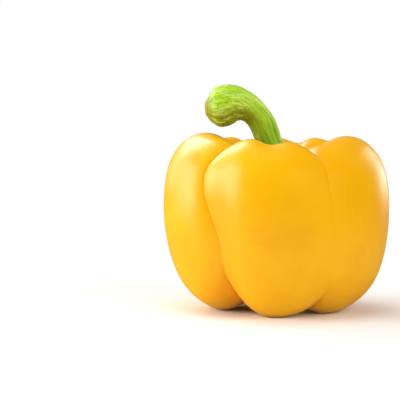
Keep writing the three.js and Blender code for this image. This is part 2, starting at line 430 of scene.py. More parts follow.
class Tree:
    """Short calls that fill a shader or geometry node tree."""

    def __init__(self, tree: bpy.types.NodeTree) -> None:
        """Takes the tree to fill."""
        self.tree = tree

    def feed(self, socket: Socket, value: Any) -> None:
        """Links a socket to another, or sets its own value.

        Args:
            socket: The socket.
            value: Another node's output, or a plain value.
        """
        if isinstance(value, Socket):
            self.tree.links.new(value, socket)
        else:
            socket.default_value = value

    def add(self, kind: str, inputs: dict[Any, Any] | None = None, **settings: Any) -> bpy.types.Node:
        """Adds a node.

        Args:
            kind: Blender's type name of the node.
            inputs: Values or links by input name or number.
            settings: Properties of the node.

        Returns:
            The node.
        """
        node = self.tree.nodes.new(kind)
        for key, value in settings.items():
            setattr(node, key, value)
        for key, value in (inputs or {}).items():
            self.feed(node.inputs[key], value)
        return node

    def math(self, operation: str, *values: Any) -> Socket:
        """Adds a sum on numbers and gives its result."""
        return self.add("ShaderNodeMath", dict(enumerate(values)), operation=operation).outputs[0]

    def product(self, *values: Any) -> Socket:
        """Multiplies numbers."""
        return reduce(lambda first, second: self.math("MULTIPLY", first, second), values)

    def total(self, *values: Any) -> Socket:
        """Adds numbers up."""
        return reduce(lambda first, second: self.math("ADD", first, second), values)

    def vector(self, operation: str, inputs: dict[Any, Any]) -> Socket:
        """Adds a sum on vectors and gives its vector result."""
        return self.add("ShaderNodeVectorMath", inputs, operation=operation).outputs[0]

    def scaled(self, vector: Any, amount: Any) -> Socket:
        """Multiplies a vector by a number."""
        return self.vector("SCALE", {"Vector": vector, "Scale": amount})

    def combine(self, x: Any, y: Any, z: Any) -> Socket:
        """Makes a vector of three numbers."""
        return self.add("ShaderNodeCombineXYZ", {"X": x, "Y": y, "Z": z}).outputs[0]

    def split(self, vector: Any) -> bpy.types.bpy_prop_collection:
        """Gives the X, Y and Z of a vector."""
        return self.add("ShaderNodeSeparateXYZ", {"Vector": vector}).outputs

    def remap(self, value: Any, low: Any, high: Any, to_low: Any = 0.0, to_high: Any = 1.0) -> Socket:
        """Carries a range of numbers smoothly over to another, and holds it at the ends."""
        inputs = {"Value": value, "From Min": low, "From Max": high, "To Min": to_low, "To Max": to_high}
        return self.add("ShaderNodeMapRange", inputs, interpolation_type="SMOOTHSTEP").outputs[0]

    def noise(self, vector: Any, scale: Any, detail: float, distortion: float = 0.0) -> Socket:
        """Adds a noise and gives its height, from 0 to 1."""
        inputs = {"Vector": vector, "Scale": scale, "Detail": detail, "Distortion": distortion}
        return self.add("ShaderNodeTexNoise", inputs).outputs["Fac"]

    def mix(self, share: Any, first: Any, second: Any) -> Socket:
        """Blends two colours.

        Args:
            share: How much of the second shows.
            first: A colour.
            second: Another colour.

        Returns:
            The blended colour.
        """
        node = self.add("ShaderNodeMix", data_type="RGBA")
        for index, value in ((0, share), (6, first), (7, second)):
            self.feed(node.inputs[index], value)
        return node.outputs[2]


class Group(Tree):
    """A node group with named inputs and outputs."""

    def __init__(self, kind: str, name: str, inputs: dict[str, Any], outputs: dict[str, str]) -> None:
        """Starts the group.

        Args:
            kind: Blender's type name of the tree.
            name: Name of the group.
            inputs: Default number by input name, or the kind of a socket that has none.
            outputs: Kind of socket by output name.
        """
        super().__init__(bpy.data.node_groups.new(name, kind))
        self.identifiers: dict[str, str] = {}
        for label, default in inputs.items():
            socket_type = NUMBER_SOCKETS.get(type(default), default)
            socket = self.tree.interface.new_socket(label, in_out="INPUT", socket_type=socket_type)
            self.identifiers[label] = socket.identifier
            if socket_type != default:
                socket.default_value = default
        for label, socket_type in outputs.items():
            self.tree.interface.new_socket(label, in_out="OUTPUT", socket_type=socket_type)
        self.given = self.add("NodeGroupInput").outputs
        self.result = self.add("NodeGroupOutput").inputs


class GeometryGroup(Group):
    """A geometry tree that takes a piece's mesh, its own numbers and a material."""

    def __init__(self, name: str, numbers: dict[str, Any]) -> None:
        """Starts the tree with its named numbers.

        Args:
            name: Name of the tree.
            numbers: The piece's numbers by input name.
        """
        inputs = {"Geometry": GEOMETRY, **numbers, "Material": "NodeSocketMaterial"}
        super().__init__("GeometryNodeTree", name, inputs, {"Geometry": GEOMETRY})
        self.numbers = numbers

    def step(self, kind: str, geometry: Any, inputs: dict[Any, Any] | None = None, **settings: Any) -> Socket:
        """Adds a node that takes a geometry and gives a changed one."""
        return self.add(kind, {"Geometry": geometry, **(inputs or {})}, **settings).outputs[0]

    def keep(self, geometry: Any, name: str, value: Any) -> Socket:
        """Stores a number on the points of a geometry."""
        kind, inputs = "GeometryNodeStoreNamedAttribute", {"Name": name, "Value": value}
        return self.step(kind, geometry, inputs, data_type="FLOAT", domain="POINT")

    def named(self, name: str, data_type: str = "FLOAT") -> Socket:
        """Reads one of the piece's own numbers or vectors."""
        return self.add("GeometryNodeInputNamedAttribute", {"Name": name}, data_type=data_type).outputs[0]

    def position(self) -> Socket:
        """Reads where each point is."""
        return self.add("GeometryNodeInputPosition").outputs[0]

    def raised(self, geometry: Any, amount: Any) -> Socket:
        """Moves each point of a geometry along its normal."""
        offset = self.scaled(self.add("GeometryNodeInputNormal").outputs[0], amount)
        return self.step("GeometryNodeSetPosition", geometry, {"Offset": offset})

    def end(self, geometry: Any) -> None:
        """Makes the geometry plain, smooth and dressed, and gives it out.

        Args:
            geometry: What the tree has made.
        """
        plain = self.step("GeometryNodeRealizeInstances", geometry)
        smooth = self.step("GeometryNodeSetShadeSmooth", plain)
        dressed = self.step("GeometryNodeSetMaterial", smooth, {"Material": self.given["Material"]})
        self.feed(self.result["Geometry"], dressed)

    def grow(self, piece: bpy.types.Object, material: bpy.types.Material) -> None:
        """Runs the tree on a piece and turns what it makes into the piece's plain mesh.

        Args:
            piece: The object that the tree starts from.
            material: What dresses the piece.
        """
        modifier = piece.modifiers.new(self.tree.name, "NODES")
        modifier.node_group = self.tree
        for label, value in {**self.numbers, "Material": material}.items():
            modifier[self.identifiers[label]] = value
        graph = bpy.context.evaluated_depsgraph_get()
        grown = piece.evaluated_get(graph)
        made = bpy.data.meshes.new_from_object(grown, preserve_all_data_layers=True, depsgraph=graph)
        old = piece.data
        piece.modifiers.clear()
        piece.data = made
        bpy.data.meshes.remove(old)
        made.name = piece.name


def mottle_group() -> Group:
    """Builds the shader group for soft blotches, used by every finish.

    Returns:
        The group. Its mask is 0 between the blotches and 1 in them.
    """
    inputs = {"Vector": VECTOR, "Scale": 1.0, "Low": 0.4, "High": 0.6}
    group = Group("ShaderNodeTree", "soft blotches", inputs, {"Mask": FLOAT})
    given = group.given
    broad = group.noise(given["Vector"], given["Scale"], detail=3.0, distortion=0.4)
    group.feed(group.result["Mask"], group.remap(broad, given["Low"], given["High"]))
    return group


def grain_group() -> Group:
    """Builds the shader group for fine cell grain, used by every finish.

    Returns:
        The group. Its height is about 0 between the cells and 1 on them, and its flecks are
        scattered pale spots.
    """
    inputs = {"Vector": VECTOR, "Scale": 1000.0}
    group = Group("ShaderNodeTree", "cell grain", inputs, {"Height": FLOAT, "Flecks": FLOAT})
    vector, scale = group.given["Vector"], group.given["Scale"]
    cells = group.add("ShaderNodeTexVoronoi", {"Vector": vector, "Scale": scale}, feature="SMOOTH_F1")
    uneven = group.noise(vector, group.product(scale, 0.35), detail=2.0)
    height = group.total(group.math("SUBTRACT", 1.0, cells.outputs["Distance"]), uneven)
    group.feed(group.result["Height"], group.product(height, 0.5))
    spots = group.add("ShaderNodeTexVoronoi", {"Vector": vector, "Scale": group.product(scale, 0.4)})
    group.feed(group.result["Flecks"], group.remap(spots.outputs["Distance"], 0.12, 0.3, 1.0, 0.0))
    return group


class FinishTree(Tree):
    """The shader tree of a finish, with the shared blotches and grain at hand."""

    def __init__(self, tree: bpy.types.NodeTree, mottle: Group, grain: Group, grain_scale: float) -> None:
        """Places the shared grain on the finish.

        Args:
            tree: The finish's tree.
            mottle: The shared blotches.
            grain: The shared grain.
            grain_scale: Cells of the grain to a metre.
        """
        super().__init__(tree)
        self.mottle = mottle.tree
        self.place = self.add("ShaderNodeTexCoord").outputs["Object"]
        inputs = {"Vector": self.place, "Scale": grain_scale}
        self.relief = self.add("ShaderNodeGroup", inputs, node_tree=grain.tree).outputs

    def attribute(self, name: str) -> Socket:
        """Reads one of the piece's own numbers."""
        return self.add("ShaderNodeAttribute", attribute_name=name).outputs["Fac"]

    def blotches(self, scale: float, low: float, high: float) -> Socket:
        """Places the shared blotches: how many to a metre, and the noise at which they start and are full."""
        inputs = {"Vector": self.place, "Scale": scale, "Low": low, "High": high}
        return self.add("ShaderNodeGroup", inputs, node_tree=self.mottle).outputs["Mask"]

    def layers(self, base: Any, *layers: tuple[Any, Any]) -> Socket:
        """Lays colours over a base one after the other, each with its share.

        Args:
            base: The lowest colour.
            layers: Shares and colours, from the lowest up.

        Returns:
            The mixed colour.
        """
        for share, tint in layers:
            base = self.mix(share, base, tint)
        return base


@dataclass(frozen=True)
class Finish:
    """What every finish has: its name, gloss, scattering and the relief of its grain."""

    name: str
    slot: Slot
    roughness: float
    specular: float
    subsurface: float = 0.0
    scatter: tuple[float, float, float] = (1.0, 0.2, 0.1)
    scatter_depth: float = 0.001
    grain_scale: float = 2500.0
    grain_depth: float = 0.00001

    def base(self, tree: FinishTree) -> Socket:
        """Mixes the finish's colour."""
        raise NotImplementedError

    def gloss(self, tree: FinishTree) -> Any:
        """Gives the roughness, the same all over unless a finish says otherwise."""
        return self.roughness

    def material(self, mottle: Group, grain: Group) -> bpy.types.Material:
        """Builds the finish, with its fixed numbers set on the shader.

        Args:
            mottle: The shared blotches.
            grain: The shared grain.

        Returns:
            The material.
        """
        material = bpy.data.materials.new(self.name)
        material.use_nodes = True
        tree = FinishTree(material.node_tree, mottle, grain, self.grain_scale)
        shader = material.node_tree.nodes["Principled BSDF"].inputs
        shader["Specular IOR Level"].default_value = self.specular
        shader["Subsurface Weight"].default_value = self.subsurface
        shader["Subsurface Radius"].default_value = self.scatter
        shader["Subsurface Scale"].default_value = self.scatter_depth
        tree.feed(shader["Base Color"], self.base(tree))
        tree.feed(shader["Roughness"], self.gloss(tree))
        inputs = {"Height": tree.relief["Height"], "Strength": 1.0, "Distance": self.grain_depth}
        tree.feed(shader["Normal"], tree.add("ShaderNodeBump", inputs).outputs["Normal"])
        return material


@dataclass(frozen=True)
class PodSkin(Finish):
    """Smooth waxy skin: golden, a little yellower in blotches and, as painted light, on its left side; deeper
    orange in random patches and, as painted shade, low in the grooves.
    """

    golden: Colour = colour(250, 180, 1)
    yellow: Colour = colour(253, 190, 5)
    orange_and_groove_shade: Colour = colour(240, 157, 0)
    fleck: Colour = colour(255, 205, 25)
    painted_light_side: Range = (0.03, -0.04, 0.0, 0.5)
    yellow_blotches: Blotches = (28.0, 0.38, 0.66)
    yellow_share: float = 0.66
    groove_shade_depth: Range = (1.0, 5.0)
    groove_shade_height: Range = (0.045, 0.012, 0.15, 0.7)
    orange_blotches: Blotches = (45.0, 0.47, 0.72)
    orange_share: float = 0.36
    fleck_share: float = 0.14
    wax_blotches: Blotches = (120.0, 0.35, 0.7)
    wax_spread: tuple[float, float] = (-0.04, 0.05)

    def base(self, tree: FinishTree) -> Socket:
        """Mixes the skin's colour.

        Args:
            tree: The finish's tree.

        Returns:
            The colour.
        """
        across, _, height = tree.split(tree.place)
        # Painted light: the left side is made yellower, as if lit from the left; the yellow blotches added to
        # it are the skin's own.
        side = tree.total(tree.remap(across, *self.painted_light_side), tree.blotches(*self.yellow_blotches))
        # Painted shade: deeper orange low down in the grooves, stronger the deeper the groove; the random
        # orange patches are the skin's own.
        groove_shade = tree.remap(tree.attribute("groove"), *self.groove_shade_depth)
        groove = tree.product(groove_shade, tree.remap(height, *self.groove_shade_height))
        patches = tree.product(tree.blotches(*self.orange_blotches), self.orange_share)
        return tree.layers(
            self.golden,
            (tree.product(side, self.yellow_share), self.yellow),
            (tree.math("MAXIMUM", groove, patches), self.orange_and_groove_shade),
            (tree.product(tree.relief["Flecks"], self.fleck_share), self.fleck),
        )

    def gloss(self, tree: FinishTree) -> Any:
        """Lets the wax be a little duller in blotches.

        Args:
            tree: The finish's tree.

        Returns:
            The roughness.
        """
        low, high = self.wax_spread
        wax = tree.blotches(*self.wax_blotches)
        return tree.remap(wax, 0.0, 1.0, self.roughness + low, self.roughness + high)


@dataclass(frozen=True)
class StemSkin(Finish):
    """Satin yellow-green peduncle: deeper green at its foot, ochre at the cut; painted shade makes it olive
    where it faces down and darker at its edges where it turns away from view.
    """

    fresh: Colour = colour(182, 222, 54)
    foot: Colour = colour(114, 180, 36)
    # The olive under is painted shade, laid where the stem faces down.
    under: Colour = colour(140, 152, 12)
    pale: Colour = colour(218, 240, 132)
    dark: Colour = colour(112, 150, 24)
    ripe: Colour = colour(158, 150, 8)
    cork: Colour = colour(178, 146, 30)
    fresh_along: Range = (0.1, 0.55)
    underside_shade_span: Range = (-0.3, 0.75, 0.0, 0.9)
    dark_blotches: Blotches = (220.0, 0.4, 0.65)
    blotch_share: float = 0.15
    dark_valley: Range = (-0.2, -0.9, 0.0, 0.4)
    pale_ridge: Range = (0.52, 0.85)
    pale_along: Range = (0.2, 0.6, 0.3, 0.8)
    dark_ridge: Range = (0.46, 0.18, 0.0, 0.6)
    ripe_along: Range = (0.88, 0.97, 0.0, 0.85)
    cork_along: Range = (0.99, 1.0, 0.0, 0.6)
    painted_edge_shade: Range = (0.6, 0.95, 0.0, 0.75)
    fleck_share: float = 0.25

    def base(self, tree: FinishTree) -> Socket:
        """Mixes the stem's colour.

        Args:
            tree: The finish's tree.

        Returns:
            The colour.
        """
        along, ridge = tree.attribute("along"), tree.attribute("ridge")
        facing_away_shade = tree.add("ShaderNodeLayerWeight", {"Blend": 0.5}).outputs["Facing"]
        pale = tree.product(tree.remap(ridge, *self.pale_ridge), tree.remap(along, *self.pale_along))
        return tree.layers(
            self.foot,
            (tree.remap(along, *self.fresh_along), self.fresh),
            # Painted shade: olive where the surface faces down.
            (tree.remap(tree.attribute("below"), *self.underside_shade_span), self.under),
            (tree.product(tree.blotches(*self.dark_blotches), self.blotch_share), self.dark),
            (tree.remap(tree.attribute("rib"), *self.dark_valley), self.dark),
            (pale, self.pale),
            (tree.remap(ridge, *self.dark_ridge), self.dark),
            (tree.remap(along, *self.ripe_along), self.ripe),
            (tree.remap(along, *self.cork_along), self.cork),
            # Painted shade: darker where the surface turns away from the view.
            (tree.remap(facing_away_shade, *self.painted_edge_shade), self.dark),
            (tree.product(tree.relief["Flecks"], self.fleck_share), self.pale),
        )


@dataclass(frozen=True)
class CalyxSkin(Finish):
    """Crinkled satin green, paler on its ridges and brown at the dry edge."""

    green: Colour = colour(132, 178, 42)
    pale: Colour = colour(176, 210, 80)
    dark: Colour = colour(88, 134, 24)
    dry: Colour = colour(150, 126, 52)
    dark_blotches: Blotches = (300.0, 0.4, 0.65)
    pale_ridge: Range = (0.5, 0.9, 0.0, 0.7)
    dark_ridge: Range = (0.45, 0.15, 0.0, 0.6)
    dry_edge: Range = (0.93, 1.0, 0.0, 0.75)

    def base(self, tree: FinishTree) -> Socket:
        """Mixes the calyx's colour.

        Args:
            tree: The finish's tree.

        Returns:
            The colour.
        """
        ridge = tree.attribute("ridge")
        return tree.layers(
            self.green,
            (tree.blotches(*self.dark_blotches), self.dark),
            (tree.remap(ridge, *self.pale_ridge), self.pale),
            (tree.remap(ridge, *self.dark_ridge), self.dark),
            (tree.remap(tree.attribute("out"), *self.dry_edge), self.dry),
        )


@dataclass(frozen=True)
class DryTissue(Finish):
    """Pale brown corky tissue of a scar."""

    straw: Colour = colour(200, 176, 84)
    brown: Colour = colour(158, 122, 44)
    brown_blotches: Blotches = (900.0, 0.4, 0.6)

    def base(self, tree: FinishTree) -> Socket:
        """Mixes the tissue's colour."""
        return tree.mix(tree.blotches(*self.brown_blotches), self.straw, self.brown)


def hand_over(piece: bpy.types.Object, finish: Finish, *nodes: Node) -> None:
    """Tells the frame what a finished piece rides on and stands for.

    Args:
        piece: The finished piece.
        finish: Its finish; not used.
        nodes: The solids that it replaces.
    """
    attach(piece, BODY)
    if nodes:
        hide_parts(*[node.value for node in nodes])
    triangles = sum(len(face.vertices) - 2 for face in piece.data.polygons)
    LOG.info("%s: %d triangles", piece.name, triangles)


@dataclass
class Pod:
    """The fruit body."""

    form: PodForm
    finish: PodSkin
    material: bpy.types.Material
    round_counts: tuple[int, ...] = (64, 84, 96, 72)
    down_count: int = 190
    swell_height: float = 0.22 * MM
    swell_size: float = 0.03
    swell_start: Range = (0.001, 0.012)
    seed: float = 4.7

    def grid(self) -> tuple[Array, Array]:
        """Gives the bearings and shares of the fine grid, without its two poles.

        Returns:
            Bearings in degrees and shares of the way down, a row for each ring.
        """
        share = np.arange(1, self.down_count) / self.down_count
        bearing = self.form.columns(share, self.round_counts)
        return bearing, np.repeat(share[:, None], bearing.shape[1], axis=1)

    def shift(self) -> Array:
        """Finds how far the form is moved so that it stands where its solid does, in metres.

        Returns:
            The move.
        """
        points = self.form.points(*self.grid()).reshape(-1, 3) * MM
        low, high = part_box(Node.POD.value)
        middle = (points.min(axis=0) + points.max(axis=0)) / 2
        return np.array([(low[0] + high[0]) / 2 - middle[0], (low[1] + high[1]) / 2 - middle[1], 0.0])

    def placed(self, points: Array) -> Array:
        """Turns points of the form into metres, where the solid stands."""
        return points * MM + self.shift()

    def swell_tree(self) -> GeometryGroup:
        """Builds the tree that lets the skin swell and sink a little, as no lobe is perfectly even.

        Returns:
            The geometry tree.
        """
        numbers = {"Swell Height": self.swell_height, "Swell Size": self.swell_size, "Seed": self.seed}
        group = GeometryGroup("uneven skin", numbers)
        given, place = group.given, group.position()
        moved = group.vector("ADD", {0: place, 1: group.combine(given["Seed"], 0.0, 0.0)})
        swell = group.noise(moved, group.math("DIVIDE", 1.0, given["Swell Size"]), detail=1.0)
        wave = group.math("SUBTRACT", swell, NOISE_MEAN)
        clear = group.remap(group.split(place)["Z"], *self.swell_start)
        group.end(group.raised(given["Geometry"], group.product(wave, given["Swell Height"], clear)))
        return group

    def build(self) -> None:
        """Makes the skin and dresses it."""
        bearing, share = self.grid()
        radius, height, depth = self.form.skin(bearing, share)
        rows = self.placed(at_bearing(bearing, radius, height))
        top, bottom = (self.placed(self.form.pole(end)) for end in (0.0, 1.0))
        piece = closed_body("pod_skin", top, rows, bottom)
        store_rows(piece, "groove", depth)
        self.swell_tree().grow(piece, self.material)
        hand_over(piece, self.finish, Node.POD)


@dataclass
class Calyx:
    """The green cap in the stem cavity, with its teeth and crinkles."""

    pod: Pod
    finish: CalyxSkin
    material: bpy.types.Material
    teeth: Pairs = ((-62, 15.8), (-5, 14.6), (52, 15.9), (112, 14.8), (172, 15.8), (238, 15))
    edge_fallback: float = 2.8
    thickness: float = 2.2
    boss_top: float = 59.0
    boss_fade: Range = (9.2, 12.0)
    gap: float = 0.05
    thinning: float = 0.3
    rounded_rim: float = 0.15
    rim_thickness: float = 0.3
    edge_curl: float = 0.5
    curl_start: float = 0.7
    crinkle_height: float = 0.45
    crinkles_round: int = 17
    crinkles_out: float = 15.0
    crinkle_sways: Pairs = ((2.3, 7), (1.7, 5))
    tooth_rib_height: float = 0.7
    tooth_rib_half_width: float = 9.0
    round_count: int = 360
    out_count: int = 56
    crowding: float = 0.8
    bump_height: float = 0.5 * MM
    bumps_to_a_metre: float = 700.0
    bump_softness: float = 0.6
    bump_share: float = 0.65
    wrinkles_to_a_bump: float = 1.6
    bump_fades: tuple[Range, Range] = ((0.3, 0.6), (0.9, 1.0))

    def reach(self, bearing: Array) -> Array:
        """Gives the calyx's radius: pointed teeth with hollow edges between them."""
        before, after, across = between(self.teeth, bearing)
        return lerp(before, after, across) - self.edge_fallback * (4 * across * (1 - across)) ** 0.8

    def relief(self, bearing: Array, out: Array) -> Array:
        """Gives the height of the crinkles and the ribs of the teeth.

        Args:
            bearing: Bearings in degrees.
            out: How far out towards the edge, from 0 to 1.

        Returns:
            Heights in millimetres.
        """
        angle = np.radians(bearing)
        (sway_round, waves_out), (sway_out, waves_round) = self.crinkle_sways
        across = np.sin(self.crinkles_round * angle + sway_round * np.sin(waves_out * out))
        radial = np.sin(self.crinkles_out * out + sway_out * np.sin(waves_round * angle))
        ribs = [bell(turn(tooth[0], bearing), self.tooth_rib_half_width) for tooth in self.teeth]
        return self.crinkle_height * across * radial + self.tooth_rib_height * np.max(ribs, axis=0)

    def rings(self) -> Array:
        """Says how far out each ring of points is; they crowd towards the edge."""
        return (np.arange(1, self.out_count + 1) / self.out_count) ** self.crowding

    def rows(self) -> Array:
        """Works out the upper side from the middle out, then the under side back to the middle.

        Returns:
            Rows of points in millimetres.
        """
        bearing, out = np.meshgrid(np.arange(self.round_count) * 360 / self.round_count, self.rings())
        radius = self.reach(bearing) * out
        clear = self.pod.form.cavity_height(bearing, radius) + self.gap
        curl = self.edge_curl * smoothstep(out, self.curl_start, 1)
        past_rim = np.clip((out - 1 + self.rounded_rim) / self.rounded_rim, 0, 1)
        rim = lerp(self.rim_thickness, 1, np.sqrt(1 - past_rim**2))
        body = (self.thickness + self.relief(bearing, out)) * (1 - self.thinning * out) * rim
        skirt = smoothstep(radius, *self.boss_fade)
        upper = at_bearing(bearing, radius, lerp(self.boss_top, clear + body + curl, skirt))
        under = at_bearing(bearing, radius, clear + curl / 2)
        return np.concatenate([upper, under[::-1]])

    def crinkle_tree(self) -> GeometryGroup:
        """Builds the tree that raises fine bumps and wrinkles on the upper side.

        Returns:
            The geometry tree. It stores the relief as the attribute ridge.
        """
        numbers = {"Bump Height": self.bump_height, "Bumps To A Metre": self.bumps_to_a_metre}
        group = GeometryGroup("calyx crinkles", numbers)
        given, place = group.given, group.position()
        scale = given["Bumps To A Metre"]
        inputs = {"Vector": place, "Scale": scale, "Smoothness": self.bump_softness}
        cells = group.add("ShaderNodeTexVoronoi", inputs, feature="SMOOTH_F1")
        fine = group.noise(place, group.product(scale, self.wrinkles_to_a_bump), detail=2.0, distortion=0.5)
        bumps = group.math("SUBTRACT", 0.9, cells.outputs["Distance"])
        ridge = group.total(group.product(bumps, self.bump_share), group.product(fine, 1 - self.bump_share))
        lift = group.math("SUBTRACT", ridge, NOISE_MEAN)
        kept = group.keep(given["Geometry"], "ridge", ridge)
        group.end(group.raised(kept, group.product(lift, given["Bump Height"], group.named("upper"))))
        return group

    def build(self) -> None:
        """Makes the calyx and dresses it."""
        floor = self.pod.form.pole(0.0)[2] + self.gap
        top, bottom = (self.pod.placed(np.array([0, 0, height])) for height in (self.boss_top, floor))
        piece = closed_body("calyx_cap", top, self.pod.placed(self.rows()), bottom)
        out = self.rings()
        rise, fall = self.bump_fades
        fade = smoothstep(out, *rise) * (1 - smoothstep(out, *fall))
        for name, upper, under in (("out", out, out[::-1]), ("upper", fade, 0 * fade)):
            store_rows(piece, name, np.repeat(np.concatenate([upper, under]), self.round_count))
        self.crinkle_tree().grow(piece, self.material)
        hand_over(piece, self.finish, Node.CALYX)


@dataclass(frozen=True)
class Streaks:
    """A noise drawn out along the stem: swells side by side, starts along it, and how much it winds."""

    fineness: float
    starts: float
    wander: float
    scale: float = 1.6

    def height(self, group: GeometryGroup, across: Any, along: Any) -> Socket:
        """Adds the noise to a tree.

        Args:
            group: The tree.
            across: Unit vector round the stem.
            along: How far along the stem.

        Returns:
            The noise, about 0 in the mean.
        """
        lengthwise = group.combine(0.0, 0.0, group.product(along, self.starts))
        place = group.vector("ADD", {0: group.scaled(across, self.fineness), 1: lengthwise})
        swell = group.noise(place, self.scale, detail=3.0, distortion=self.wander)
        return group.math("SUBTRACT", swell, NOISE_MEAN)


@dataclass
class Stem:
    """The curved peduncle with its swollen cut end."""

    pod: Pod
    finish: StemSkin
    material: bpy.types.Material
    line: tuple[tuple[float, float, float, float], ...] = (
        (0, 0, 59.3, 9), (0, 0, 60.6, 7.1), (-0.7, 0, 62.6, 5.8), (-2.2, 0, 65.5, 4.9),
        (-3.8, -0.1, 70, 5.1), (-5.6, -0.3, 74.5, 5.1), (-8.5, -0.6, 78.5, 5.1),
        (-11.1, -0.9, 80.7, 5.6), (-13.6, -1.2, 81.8, 6.2), (-16.3, -1.5, 82.3, 7.3),
        (-19.4, -1.8, 82.1, 7.9), (-23.1, -2.1, 81.1, 7.9), (-25.8, -2.2, 80.7, 5.9),
        (-27.5, -2.3, 80.6, 3.5),
    )
    foot_sink: float = 0.4
    cut_bulge: float = 0.9
    cut_rows: int = 14
    cut_pole: float = 0.01
    ribs: float = 5.0
    rib_height: float = 0.05
    rib_fade: float = 0.5
    twist: float = 0.5
    along_count: int = 280
    sides: int = 160
    striation_height: float = 0.28 * MM
    wrinkle_height: float = 0.2 * MM
    seed: float = 2.3
    fine: Streaks = Streaks(9.0, 7.0, 0.25)
    broad: Streaks = Streaks(2.8, 2.4, 0.2)
    winding: Streaks = Streaks(2.4, 11.0, 1.2)
    crease: Range = (0.0, 0.05, -0.5, 0.2)
    creased: tuple[Range, Range] = ((0.42, 0.62), (0.95, 0.84))
    calm_end: Range = (0.999, 0.95)

    def follow(self, share: Array) -> tuple[Array, Array, Array]:
        """Follows the centre line.

        Args:
            share: How far along, from 0 at the calyx to 1 at the cut.

        Returns:
            Points, unit directions and radii, in millimetres.
        """
        line = np.asarray(self.line, float)
        spans = len(line) - 1
        place = np.clip(share, 0, 1) * spans
        i = np.minimum(place.astype(int), spans - 1)
        t = (place - i)[:, None]
        a, b = line[np.maximum(i - 1, 0)], line[i]
        c, d = line[i + 1], line[np.minimum(i + 2, spans)]
        bend, twist = 2 * a - 5 * b + 4 * c - d, 3 * b - a - 3 * c + d
        value = (2 * b + (c - a) * t + bend * t**2 + twist * t**3) / 2
        slope = (c - a) + 2 * bend * t + 3 * twist * t**2
        return value[:, :3], unit(slope[:, :3]), value[:, 3]

    def centre_line(self) -> bpy.types.Object:
        """Makes the line that the sweep follows, rounded in at the cut end.

        Returns:
            A mesh object of edges, with reach, along and side stored on its points.
        """
        share = np.linspace(0, 1, self.along_count)
        centre, ahead, radius = self.follow(share)
        centre[0, 2] -= self.foot_sink
        quarter = np.linspace(0, np.pi / 2, self.cut_rows + 1)[1:]
        dome = centre[-1] + ahead[-1] * (self.cut_bulge * np.sin(quarter))[:, None]
        closing = radius[-1] * np.maximum(np.cos(quarter), self.cut_pole)
        points = self.pod.placed(np.vstack([centre, dome]))
        ahead = np.vstack([ahead, np.repeat(ahead[-1:], self.cut_rows, axis=0)])
        edges = [(i, i + 1) for i in range(len(points) - 1)]
        piece = mesh_object("stem_peduncle", points, edges=edges)
        store(piece, "reach", np.concatenate([radius, closing]) * MM)
        store(piece, "along", np.concatenate([share, np.ones_like(closing)]))
        store(piece, "side", unit(np.cross((0, 1, 0), ahead)))
        return piece

    def tube(self, group: GeometryGroup) -> Socket:
        """Adds the sweep of a ring along the line, with how far round each point is as round.

        Args:
            group: The tree that it goes into.

        Returns:
            The tube.
        """
        line = group.add("GeometryNodeMeshToCurve", {"Mesh": group.given["Geometry"]}).outputs[0]
        facing = {"Curve": line, "Normal": group.named("side", "FLOAT_VECTOR")}
        line = group.add("GeometryNodeSetCurveNormal", facing, mode="FREE").outputs[0]
        circle = {"Resolution": group.given["Sides"], "Radius": 1.0}
        ring = group.add("GeometryNodeCurvePrimitiveCircle", circle).outputs[0]
        marked = group.keep(ring, "round", group.add("GeometryNodeSplineParameter").outputs["Factor"])
        swept = {"Curve": line, "Profile Curve": marked, "Scale": group.named("reach"), "Fill Caps": True}
        return group.add("GeometryNodeCurveToMesh", swept).outputs[0]

    def sweep_tree(self) -> GeometryGroup:
        """Builds the tree that sweeps a ribbed section along the line and wrinkles its skin.

        Returns:
            The geometry tree. It stores ridge, rib and below for the finish.
        """
        numbers = {
            "Sides": self.sides,
            "Ribs": self.ribs,
            "Rib Height": self.rib_height,
            "Rib Fade": self.rib_fade,
            "Twist": self.twist,
            "Striation Height": self.striation_height,
            "Wrinkle Height": self.wrinkle_height,
            "Seed": self.seed,
        }
        group = GeometryGroup("stem sweep", numbers)
        given = group.given
        product, total = group.product, group.total
        tube = self.tube(group)
        angle, along = product(group.named("round"), math.tau), group.named("along")
        turned = total(angle, product(along, given["Twist"]))
        fade = group.math("SUBTRACT", 1.0, product(along, given["Rib Fade"]))
        wave = product(group.math("COSINE", product(turned, given["Ribs"])), fade)
        rib = product(wave, product(group.named("reach"), given["Rib Height"]))
        across = group.combine(group.math("COSINE", angle), group.math("SINE", angle), 0.0)
        start = total(along, given["Seed"])
        fine, broad, winding = (
            kind.height(group, across, start) for kind in (self.fine, self.broad, self.winding)
        )
        rise, fall = (group.remap(along, *bounds) for bounds in self.creased)
        fold = product(group.remap(group.math("ABSOLUTE", winding), *self.crease), product(rise, fall))
        striation = product(total(fine, product(broad, 2.0)), given["Striation Height"])
        relief = total(striation, product(fold, given["Wrinkle Height"]), rib)
        ridge = total(product(fine, 1.7), product(broad, 1.3), 0.5, product(fold, 0.4))
        # below says how much the surface faces down; the finish paints shade with it.
        normal = group.add("GeometryNodeInputNormal").outputs[0]
        below = product(group.split(normal)["Z"], -1.0)
        for name, value in (("ridge", ridge), ("rib", wave), ("below", below)):
            tube = group.keep(tube, name, value)
        group.end(group.raised(tube, product(relief, group.remap(along, *self.calm_end))))
        return group

    def build(self) -> None:
        """Makes the stem and dresses it."""
        piece = self.centre_line()
        self.sweep_tree().grow(piece, self.material)
        hand_over(piece, self.finish, Node.STEM)


